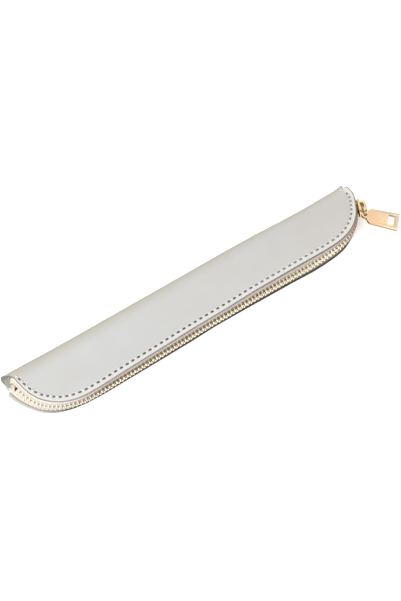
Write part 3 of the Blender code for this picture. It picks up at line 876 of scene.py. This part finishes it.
def stop_mesh(name, place, low, high):
    """Metal stop clamped on the zip between two heights, moved as a whole with the settled tape."""
    length, thickness, middle = 2.2 * MM, 2.1 * MM, (low + high) / 2
    outward = rim(place)[1]
    turn = Matrix.Rotation(atan2(outward.y, outward.x) + pi / 2, 4, "Z")
    outline = box_outline(-length / 2, length / 2, low - middle, high - middle, 0.35 * MM, 3)
    seat = Matrix.Translation(settle(rim_point(place, ZIP_INSET, MIDDLE + middle)))
    upright = seat @ turn @ Matrix.Rotation(pi / 2, 4, "X")
    return plate(name, [outline], -thickness / 2, thickness / 2, upright, 0.22 * MM)


def slider_plate(head, tail):
    """Outline of one of the slider's plates, wider at its head than at its tail."""
    half, flare = SLIDER_LENGTH / 2, SLIDER_LENGTH / 2 * 0.45
    upper = [(half, head / 2), (flare, head / 2), (0.0, tail / 2), (-half, tail / 2)]
    return rounded([(x, -y) for x, y in upper[::-1]] + upper, 0.9 * MM, 6)


def bridge_outline():
    """Outline of the bridge: an arch with a wall that stands on the outer plate, squarer than round."""
    wall, reach, square_reach, square_rise = 1.3 * MM, 3.8 * MM, 0.55, 0.62
    top = SLIDER_OUTER + SLIDER_WALL
    base, arch = top - SUNK, top + 2.0 * MM
    outer, inner = [(-reach, base)], [(-reach + wall, base)]
    for step in range(13):
        angle = pi - pi * step / 12
        bow = abs(cos(angle)) ** square_reach * (1 if cos(angle) > 0 else -1)
        rise = max(0.0, sin(angle)) ** square_rise
        outer.append((reach * bow, top + (arch + wall - top) * rise))
        inner.append(((reach - wall) * bow, top + (arch - top) * rise))
    return outer + [(reach, base), (reach - wall, base)] + inner[::-1]


def made_slider(rounding):
    """Slider: two plates joined by a post, rims beside the tape and an arched bridge outside."""
    head, tail, inner = 7.2 * MM, 6.1 * MM, -SLIDER_INNER
    rim_near, rim_far, rim_half, slit_high, slit_low = 2.25 * MM, 2.97 * MM, 3.4 * MM, 0.5 * MM, -0.86 * MM
    post = rounded([(0.9 * MM, 0.0), (2.5 * MM, -0.9 * MM), (3.4 * MM, 0.0), (2.5 * MM, 0.9 * MM)],
                   0.25 * MM, 4)
    # The last column gives the post and rims painted shade on every face, for the shade inside the slider
    parts = [("outer_plate", slider_plate(head, tail), SLIDER_OUTER, SLIDER_OUTER + SLIDER_WALL, rounding, 0),
             ("inner_plate", slider_plate(tail, tail), inner - SLIDER_WALL, inner, rounding, 0),
             ("post", post, inner - SUNK, SLIDER_OUTER + SUNK, 0.05 * MM, 1)]
    for low, high in ((-rim_far, -rim_near), (rim_near, rim_far)):
        outline = box_outline(-rim_half, rim_half, low, high, 0.2 * MM, 3)
        parts += [("outer_rim", outline, slit_high, SLIDER_OUTER + SUNK, 0.08 * MM, 1),
                  ("inner_rim", outline, inner - SUNK, slit_low, 0.08 * MM, 1)]
    seat = Matrix.Translation((0, -ZIP_RADIUS, 0))
    lying = seat @ Matrix.Rotation(pi / 2, 4, "X")
    solids = [plate(name, [outline], start, end, lying, edge, dark, dark)
              for name, outline, start, end, edge, dark in parts]
    turn = seat @ Matrix.Diagonal((1, -1, 1, 1))
    # The bridge's sides take painted shade
    solids.append(plate("bridge", [bridge_outline()], -1.7 * MM, 1.7 * MM, turn, 0.3 * MM, 0.8))
    return join_solids("slider", solids)


# Sizes and colours that a user may change


def size_property(name, description, default, least):
    """Size that a user may change, given in millimetres."""
    return FloatProperty(name=name, description=description, default=default * MM, min=least * MM,
                         unit="LENGTH", precision=5)


def colour_property(name, description, *values):
    """Colour that a user may change, given in sRGB from 0 to 255 and kept as a linear colour."""
    values = [value / 255.0 for value in values]
    linear = tuple(v / 12.92 if v <= 0.04045 else ((v + 0.055) / 1.055) ** 2.4 for v in values)
    return FloatVectorProperty(name=name, description=description, default=linear,
                               size=3, min=0.0, max=1.0, subtype="COLOR")


class PenCaseSizes(bpy.types.PropertyGroup):
    """Sizes that can be changed without moving anything in the frame."""
    stitch_pitch: size_property("Stitch pitch", "Distance between two holes of the seam", 3.32, 2.0)
    stitch_radius: size_property("Thread radius", "Radius of the sewing thread", 0.30, 0.1)
    hole_depth: size_property("Hole depth", "How far the thread pulls the leather in", 0.45, 0.0)
    groove_depth: size_property("Groove depth", "Depth of the line pressed under the thread", 0.08, 0.0)
    tooth_pitch: size_property("Tooth pitch", "Distance between two teeth of one row", 2.1, 1.5)
    tooth_width: size_property("Tooth width", "Width of one tooth along the zip", 0.85, 0.4)
    metal_rounding: size_property("Metal rounding", "Rounding of the slider's edges", 0.22, 0.05)


class PenCaseLook(bpy.types.PropertyGroup):
    """Colours of the case's finishes, with painted light and painted shade among them."""
    colour: colour_property("Leather", "Leather of the faces", 209, 210, 209)
    shade: colour_property("Leather shade", "Mottling of the leather", 206, 202, 196)
    # The edge band is a painted highlight
    band: colour_property("Edge band", "Painted highlight outside the seam", 230, 228, 224)
    edge_paint: colour_property("Edge paint", "Painted cut edge of the front", 146, 140, 137)
    # Edge paint of the front, darkened with painted shade at its ends
    edge_paint_high_shaded: colour_property("Upper edge paint", "Paint of the front at its ends, darkened with painted shade", 118, 112, 106)
    # Edge paint of the back, darkened with painted shade
    edge_paint_low_shaded: colour_property("Lower edge paint", "Cut edge of the back, edge paint darkened with painted shade", 70, 62, 50)
    # The fold colour is painted shade on the curve of the fold
    fold: colour_property("Fold", "Painted shade along the curve of the fold", 196, 192, 180)
    # Painted light on the back's cut edge at the left end
    edge_lit_left: colour_property("Lit left edge", "Cut edge of the back at its left end, paler with painted light", 186, 186, 181)
    suede: colour_property("Suede", "Inner face of the leather", 188, 186, 175)
    # The holes' colour is painted shade
    hole: colour_property("Hole", "Inside of the seam's holes", 104, 100, 96)
    # Paler painted shade in the holes towards both ends
    paler_hole: colour_property("Paler hole", "Painted shade inside the seam's holes, paler towards both ends", 140, 136, 130)
    thread: colour_property("Thread", "Sewing thread", 247, 245, 240)
    thread_shade: colour_property("Thread shade", "Shade between the thread's strands", 228, 224, 216)
    lining: colour_property("Lining", "Woven lining", 200, 196, 188)
    lining_shade: colour_property("Lining shade", "Shade between the lining's threads", 170, 165, 156)
    tape: colour_property("Zip tape", "Woven zip tape", 222, 212, 204)
    tape_shade: colour_property("Zip tape shade", "Shade between the tape's threads", 196, 184, 176)
    # Painted light on the tape at the left end
    tape_lit_left: colour_property("Zip tape lit at the left", "Tape at the left end of the case", 244, 238, 226)
    # Painted shade on the cord
    cord: colour_property("Zip cord", "Painted shade on the cord between the teeth", 128, 112, 90)
    brass: colour_property("Teeth", "Plated teeth and stops", 255, 246, 226)
    brass_shade: colour_property("Teeth shade", "Darker clouds on the teeth", 240, 225, 198)
    # Painted light on the teeth at the left end
    brass_lit_left: colour_property("Teeth lit at the left", "Paler teeth at the zip's far end, with painted light", 222, 214, 200)
    # Painted shade on the teeth beside the slider
    brass_shaded_right: colour_property("Shaded teeth", "Teeth beside the slider, darkened with painted shade", 164, 142, 118)
    gold: colour_property("Pale gold", "Pull", 242, 207, 168)
    gold_shade: colour_property("Pale gold shade", "Darker clouds on the pull", 236, 200, 160)
    gold_far: colour_property("Pale gold far end", "Paler far end of the pull", 216, 194, 168)
    # Painted shade on the pull's sides
    gold_side_shade: colour_property("Pale gold side", "Sides of the pull, darkened with painted shade", 168, 150, 124)
    bright_gold: colour_property("Bright gold", "Slider and link", 250, 232, 188)
    bright_gold_shade: colour_property("Bright gold shade", "Darker clouds on the slider", 230, 204, 154)
    # Painted shade inside the slider
    slider_recess_shade: colour_property("Slider recess", "Painted shade inside the slider and its bridge", 138, 108, 52)
    link: colour_property("Link", "Link between slider and pull", 206, 176, 128)
    link_shade: colour_property("Link shade", "Darker clouds on the link", 172, 140, 94)
    floor: colour_property("Floor", "Studio floor", 240, 240, 240)


def hole_count(sizes):
    """How many holes the seam has."""
    return int((SEAM_LENGTH + 0.2 * MM) / sizes.stitch_pitch) + 1


class PENCASE_OT_leather(bpy.types.Operator):
    """Leather skin: one sheet folded at the back, notched at the fold's ends and dimpled by its seam"""
    bl_idname = "pencase.leather"
    bl_label = "Leather skin"

    def execute(self, context):
        sizes, look = context.scene.pen_case_sizes, context.scene.pen_case_look
        pitch, count = sizes.stitch_pitch, hole_count(sizes)

        def relief(place, inset):
            """Extra depth and hole mask where the seam presses the leather."""
            fade = hump(place, 0.0, 1.5 * MM, SEAM_LENGTH - 1.5 * MM, SEAM_LENGTH)
            across = (inset - SEAM_INSET) / MM
            index = clamp(round((place - FIRST_HOLE) / pitch), 0, count - 1)
            along = (place - FIRST_HOLE - index * pitch) / MM
            hole = exp(-(along / 0.85) ** 2 - (across / 0.56) ** 2)
            more = sizes.groove_depth * exp(-(across / 0.6) ** 2) + sizes.hole_depth * hole
            more += 0.10 * MM * (1 - smooth(inset, 2.2 * MM, 3.4 * MM))
            return more * fade, hole * fade

        insets = (27.5, 23, 19, 15, 12, 9.5, 7.5, 6, 4.8, 4, 3.5, 3.2, 3.0, 2.8, 2.6, 2.4, 2.1, 1.6, 1.1, 0.7)
        rows = [(inset * MM, 0.0, inset) for inset in insets]
        rows += [(0.36 * MM, 0.0, 0.36), (0.16 * MM, 0.06 * MM, 0.0), (0.04 * MM, 0.18 * MM, 0.0),
                 (0.0, 0.36 * MM, 0.0), (0.0, 0.76 * MM, 0.0), (0.05 * MM, 0.94 * MM, 0.0),
                 (0.16 * MM, 1.05 * MM, 0.0), (0.34 * MM, LEATHER, 0.0)]
        rows += [(inset * MM, LEATHER, -5.0) for inset in (0.8, 2.0, 4.0, 7.5, 12, 19, 27.5)]
        step = pitch / 8
        steps = int((SEAM_LENGTH - FIRST_HOLE) / step)
        places = [FIRST_HOLE + step * index for index in range(steps + 1)]
        mesh = folded_sheet("leather_skin", rows, seam_columns(places, 0.15 * MM), 1.0, relief)
        skin = add_piece("leather_skin", mesh, leather_material(look))
        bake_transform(skin)
        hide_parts("back_panel", "front_panel")
        return {"FINISHED"}


class PENCASE_OT_lining(bpy.types.Operator):
    """Woven lining glued inside the leather, in one piece round the fold"""
    bl_idname = "pencase.lining"
    bl_label = "Lining"

    def execute(self, context):
        look = context.scene.pen_case_look
        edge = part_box("back_lining")[0].y - panel_low.y
        insets, thickness, bevel, step = (27.5, 22, 17, 12, 8, 5), 0.3 * MM, 0.12 * MM, 2.0 * MM
        rows = [(inset * MM, LINING_DEPTH, inset) for inset in insets]
        rows += [(edge + bevel, LINING_DEPTH, 1.0), (edge, LINING_DEPTH + 0.1 * MM, 0.0),
                 (edge, LINING_DEPTH + 0.2 * MM, 0.0), (edge + bevel, LINING_DEPTH + thickness, 0.0)]
        rows += [(inset * MM, LINING_DEPTH + thickness, -5.0) for inset in reversed(insets)]
        places = [step * index for index in range(1, int(SEAM_LENGTH / step))]
        mesh = folded_sheet("lining", rows, seam_columns(places, 0.3 * MM), 0.4)
        cloth = cloth_material("lining_weave", look.lining, look.lining_shade, 0.5, 4.0, 0.05 * MM)
        piece = add_piece("lining", mesh, cloth)
        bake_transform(piece)
        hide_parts("back_lining", "front_lining")
        return {"FINISHED"}


class PENCASE_OT_seam(bpy.types.Operator):
    """Seam of each half: stitches of thread between small awl holes"""
    bl_idname = "pencase.seam"
    bl_label = "Seam"

    def execute(self, context):
        sizes, look = context.scene.pen_case_sizes, context.scene.pen_case_look
        pitch, count = sizes.stitch_pitch, hole_count(sizes)
        gap, hole_length, hole_width = 1.7 * MM, 1.8 * MM, 1.3 * MM
        # The holes' material is painted shade
        thread, dark = thread_material(look), hole_material(look)
        for side, body in SIDES:
            stitch = stitch_mesh(pitch - gap, sizes.stitch_radius, side)
            hole = hole_mesh(hole_length, hole_width, side)
            for name, depth, start, number, single, finish, slot, nodes in (
                    ("_stitches", 0.02 * MM, HOLE_LEAD + pitch / 2, count - 1, stitch, thread, "thread",
                     (body + "_stitching",)),
                    ("_holes", 0.12 * MM, HOLE_LEAD, count, hole, dark, "leather", ())):
                points = line_points(SEAM_INSET, level(side, depth), FIRST_HOLE - HOLE_LEAD, SEAM_LENGTH)
                mesh = repeat_along(body + name, points, start, pitch, number, single, finish)
                add_piece(body + name, mesh, finish, body, nodes)
        return {"FINISHED"}


class PENCASE_OT_zip_tapes(bpy.types.Operator):
    """Woven zip tapes with a cord in their edge"""
    bl_idname = "pencase.zip_tapes"
    bl_label = "Zip tapes"

    def execute(self, context):
        look = context.scene.pen_case_look
        cloth = cloth_material("tape_weave", look.tape, look.tape_shade, 0.42, 1.3, 0.08 * MM,
                               look.cord, look.tape_lit_left)
        for side, body in SIDES:
            name = body + "_tape"
            add_piece(name, tape_mesh(name, side), cloth, body, (body + "_zip_tape",))
        return {"FINISHED"}


class PENCASE_OT_zip_teeth(bpy.types.Operator):
    """Two rows of metal teeth that mesh along the middle"""
    bl_idname = "pencase.zip_teeth"
    bl_label = "Zip teeth"

    def execute(self, context):
        sizes, look = context.scene.pen_case_sizes, context.scene.pen_case_look
        pitch, width = sizes.tooth_pitch, sizes.tooth_width
        # Painted light at the left end, where the teeth also lose shine, and painted shade on them at the
        # right end beside the slider
        tinted_stretches = ((-62.0, -90.0, look.brass_lit_left, 0.75), (68.0, 90.0, look.brass_shaded_right, 0.0))
        brass = metal_material("plated_teeth", look.brass, look.brass_shade, 0.24, 0.16, tinted_stretches=tinted_stretches)
        points = line_points(ZIP_INSET, MIDDLE, ZIP_START, SEAM_LENGTH - ZIP_START)
        for side, body in SIDES:
            name = body + "_zip_teeth"
            start = FIRST_TOOTH + (pitch / 2 if side == FRONT else 0.0)
            count = int((TEETH_END - start - width / 2) / pitch) + 1
            mesh = repeat_along(name, points, start, pitch, count, tooth_mesh(width, side), brass)
            add_piece(name, mesh, brass, body, (body + "_teeth",))
        return {"FINISHED"}


class PENCASE_OT_zip_stops(bpy.types.Operator):
    """Metal stops at both ends of the teeth"""
    bl_idname = "pencase.zip_stops"
    bl_label = "Zip stops"

    def execute(self, context):
        look = context.scene.pen_case_look
        brass = metal_material("plated_stops", look.brass, look.brass_shade, 0.26, 0.16)
        for name, node, body, place, low, high in (
                ("top_stop_back", "back_top_stop", "back", TOP_STOP, -2.0, -0.35),
                ("top_stop_front", "front_top_stop", "front", TOP_STOP, 0.35, 2.0),
                ("lower_stop", "bottom_stop", "back", LOWER_STOP, -2.0, 2.0)):
            mesh = stop_mesh(name, rim_place(place), low * MM, high * MM)
            add_piece(name, mesh, brass, body, (node,))
        return {"FINISHED"}


class PENCASE_OT_slider(bpy.types.Operator):
    """Zip slider with its bridge"""
    bl_idname = "pencase.slider"
    bl_label = "Slider"

    def execute(self, context):
        sizes, look = context.scene.pen_case_sizes, context.scene.pen_case_look
        mesh = made_slider(sizes.metal_rounding)
        mesh.transform(slider_matrix())
        # The slider's recesses and bridge sides take painted shade
        gold = metal_material("bright_gold_slider", look.bright_gold, look.bright_gold_shade, 0.12, 0.1,
                              look.slider_recess_shade)
        add_piece("slider", mesh, gold, "slider", ("slider_body",))
        return {"FINISHED"}


class PENCASE_OT_link(bpy.types.Operator):
    """Wire loop between the slider's bridge and the pull"""
    bl_idname = "pencase.link"
    bl_label = "Link"

    def execute(self, context):
        look = context.scene.pen_case_look
        half = 2.55 * MM
        loop = box_outline(0, LINK_LENGTH, -half, half, 1.3 * MM, 8)
        curve = closed_curve("link", "3D", [[(point.x, 0.0, point.y) for point in loop]])
        curve.bevel_depth = LINK_RADIUS
        curve.bevel_resolution = 4
        mesh = curve_mesh("link", curve, link_matrix())
        gold = metal_material("bright_gold_link", look.link, look.link_shade, 0.12, 0.1)
        add_piece("link", mesh, gold, "link", ("pull_link",))
        return {"FINISHED"}


class PENCASE_OT_pull(bpy.types.Operator):
    """Flat pull plate with a round neck and a slot near its free end"""
    bl_idname = "pencase.pull"
    bl_label = "Pull"

    def execute(self, context):
        look = context.scene.pen_case_look
        length, start, neck, cut = 17.6 * MM, 1.2 * MM, 2.0 * MM, 1.5 * MM
        near, far = 4.9 * MM, 5.6 * MM
        corners = [(start, cut - near), (start + cut, -near), (length, -far),
                   (length, far), (start + cut, near), (start, near - cut)]
        outline = rounded(corners, 0.6 * MM, 6) + round_outline(neck, 17, radians(68), radians(238))
        slot_end, slot_width, slot_half = length - 2.3 * MM, 3.4 * MM, 3.5 * MM
        slot = box_outline(slot_end - slot_width, slot_end, -slot_half, slot_half, 0.45 * MM, 5)
        loops = [outline, slot, round_outline(1.0 * MM, 28)]
        tilt = Matrix.Translation((0, 0, 1.4 * MM)) @ Matrix.Rotation(radians(16.5), 4, "Y")
        mesh = plate("pull", loops, -0.6 * MM, 0.6 * MM, tilt, 0.2 * MM, 1.0)
        mesh.transform(pull_matrix())
        tinted_stretches = ((102.5, 109.0, look.gold_far, 0.0),)
        # The pull's sides take painted shade
        gold = metal_material("pale_gold_pull", look.gold, look.gold_shade, 0.2, 0.14, look.gold_side_shade, tinted_stretches)
        add_piece("pull", mesh, gold, "pull", ("pull_plate",))
        return {"FINISHED"}


def add_light(name, place, size, power):
    """Soft area light aimed at the middle of the case."""
    data = bpy.data.lights.new(name, "AREA")
    data.shape = "DISK"
    data.size = size
    data.energy = power
    light = show(name, data)
    light.location = place
    light.rotation_euler = (-Vector(place)).to_track_quat("-Z", "Y").to_euler()


def background_rays(tree):
    """One for rays that show the background: from the camera, a mirror or through glass."""
    rays = tree.nodes.new("ShaderNodeLightPath")
    seen = math_node(tree, "MAXIMUM", rays.outputs["Is Camera Ray"], rays.outputs["Is Glossy Ray"])
    return math_node(tree, "MAXIMUM", seen, rays.outputs["Is Transmission Ray"])


def dull_board(name, corners, finish, colour):
    """Flat board of the stage, and its material's tree and shader."""
    mesh = bpy.data.meshes.new(name)
    mesh.from_pydata(corners, [], [(0, 1, 2, 3)])
    material, tree, shader = new_material(finish)
    set_inputs(tree, shader, {"Base Color": rgba(colour), "Roughness": 1.0, "Specular IOR Level": 0.0})
    mesh.materials.append(material)
    return show(name, mesh), tree, shader


class PENCASE_OT_stage(bpy.types.Operator):
    """Pale floor, a dark card that only metal shows, soft lights, white surroundings and the camera"""
    bl_idname = "pencase.stage"
    bl_label = "Stage"

    def execute(self, context):
        scene, look = context.scene, context.scene.pen_case_look
        reach, low = 3.0, -0.05 * MM
        corners = [(-reach, -reach, low), (reach, -reach, low), (reach, reach, low), (-reach, reach, low)]
        floor, tree, shader = dull_board("floor", corners, "studio_floor", look.floor)
        glow = math_node(tree, "MULTIPLY", background_rays(tree), 0.5)
        set_inputs(tree, shader, {"Emission Color": (1.0, 1.0, 1.0, 1.0), "Emission Strength": glow})
        corners = [(-0.8, -0.75, 0.0), (0.2, -0.75, 0.0), (0.2, -0.45, 0.8), (-0.8, -0.45, 0.8)]
        card = dull_board("dark_card", corners, "dark_card", (0.08, 0.08, 0.08))[0]
        card.visible_camera = card.visible_diffuse = card.visible_shadow = False
        world = bpy.data.worlds.new("studio")
        world.use_nodes = True
        tree = world.node_tree
        glow = math_node(tree, "MULTIPLY_ADD", background_rays(tree), 0.4, 0.6)
        set_inputs(tree, tree.nodes["Background"], {"Color": (1.0, 1.0, 1.0, 1.0), "Strength": glow})
        scene.world = world
        for name, place, size, power in (("key_light", (-1.0, -0.55, 0.95), 0.7, 11.5),
                                         ("fill_light", (0.8, -0.3, 0.7), 0.8, 2.5),
                                         ("side_light", (-1.3, -0.25, 0.2), 0.4, 3.5)):
            add_light(name, place, size, power)
        camera = bpy.data.cameras.new("photo_camera")
        camera.sensor_width = 36.0
        camera.lens = 61.16
        right = Vector((0.84320, -0.50304, -0.18965))
        up = Vector((0.50508, 0.62045, 0.59994))
        back = Vector((-0.18413, -0.60166, 0.77724))
        turn = Matrix((right, up, back)).transposed().to_4x4()
        scene.camera = show("photo_camera", camera)
        scene.camera.matrix_world = Matrix.Translation((-0.0958, -0.3140, 0.4097)) @ turn
        scene.view_settings.view_transform = "Standard"
        return {"FINISHED"}


class PENCASE_PT_panel(bpy.types.Panel):
    """Lists the pieces of the pen case"""
    bl_idname = "PENCASE_PT_panel"
    bl_label = "Pen Case"
    bl_space_type = "VIEW_3D"
    bl_region_type = "UI"
    bl_category = "Pen Case"

    def draw(self, context):
        scene = context.scene
        for group in (scene.pen_case_sizes, scene.pen_case_look):
            box = self.layout.box()
            for name in group.bl_rna.properties.keys():
                if name not in {"rna_type", "name"}:
                    box.prop(group, name)
        for operator in OPERATORS:
            self.layout.operator(operator.bl_idname)


OPERATORS = (PENCASE_OT_leather, PENCASE_OT_lining, PENCASE_OT_seam, PENCASE_OT_zip_tapes,
             PENCASE_OT_zip_teeth, PENCASE_OT_zip_stops, PENCASE_OT_slider, PENCASE_OT_link, PENCASE_OT_pull,
             PENCASE_OT_stage)
CLASSES = (PenCaseSizes, PenCaseLook) + OPERATORS + (PENCASE_PT_panel,)


def register():
    """Add the properties, the operators and the panel."""
    for item in CLASSES:
        bpy.utils.register_class(item)
    bpy.types.Scene.pen_case_sizes = PointerProperty(type=PenCaseSizes)
    bpy.types.Scene.pen_case_look = PointerProperty(type=PenCaseLook)


def unregister():
    """Take them away again."""
    del bpy.types.Scene.pen_case_look
    del bpy.types.Scene.pen_case_sizes
    for item in reversed(CLASSES):
        bpy.utils.unregister_class(item)


def main():
    """Make every piece and the stage."""
    register()
    for operator in OPERATORS:
        group, name = operator.bl_idname.split(".")
        getattr(getattr(bpy.ops, group), name)()


if __name__ == "__main__":
    main()
